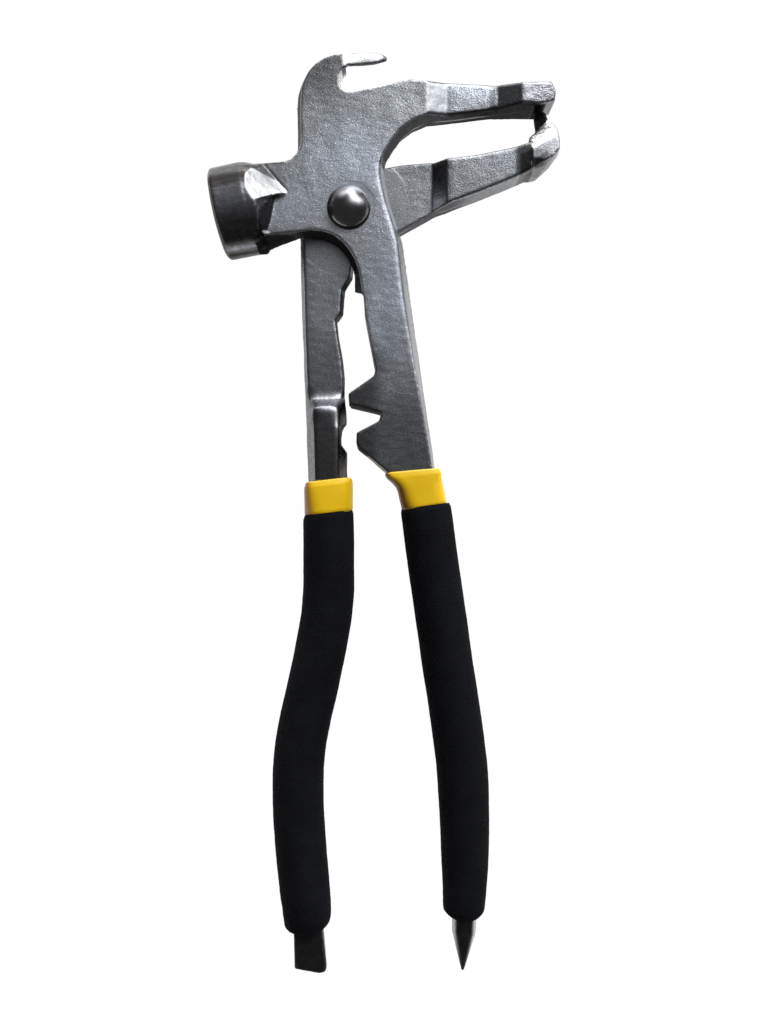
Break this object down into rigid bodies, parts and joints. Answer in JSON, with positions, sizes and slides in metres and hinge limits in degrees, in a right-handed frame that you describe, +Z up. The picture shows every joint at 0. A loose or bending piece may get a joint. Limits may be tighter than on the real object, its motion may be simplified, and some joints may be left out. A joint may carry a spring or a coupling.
{
  "type": "wheel weight pliers",
  "caption": "Pivoting pliers with a hammer head and claw hook beside the jaws, cutter teeth between the arms, sleeved foam grips, and a pry blade and a pointed pick at the handle ends.",
  "frame": {"origin": "on the surface the tool lies on, under the middle of its outline", "axes": "+Y from the handle ends to the head, +Z up along the pivot axis, +X to the side that the jaws point to"},
  "size_m": [0.095, 0.2484, 0.0245],
  "materials": {
    "forged_steel": "forged and shot-blasted, dull gunmetal grey",
    "blackened_steel": "blackened, smooth and glossy",
    "dipped_sleeve": "glossy dipped yellow PVC",
    "foam": "matt black closed-cell foam with a fine grain"
  },
  "bodies": {
    "hammer_side": {"hammer_half": "forged_steel", "pivot_rivet": "blackened_steel", "right_collar": "dipped_sleeve", "right_grip": "foam"},
    "jaw_side": {"jaw_half": "forged_steel", "left_collar": "dipped_sleeve", "left_grip": "foam"}
  },
  "joints": [
    {"name": "jaw_pivot", "type": "hinge", "parent": "hammer_side", "child": "jaw_side", "pos_m": [-0.00952, 0.08205, 0.01225], "axis": [0, 0, -1], "range_deg": [0, 30]}
  ]
}
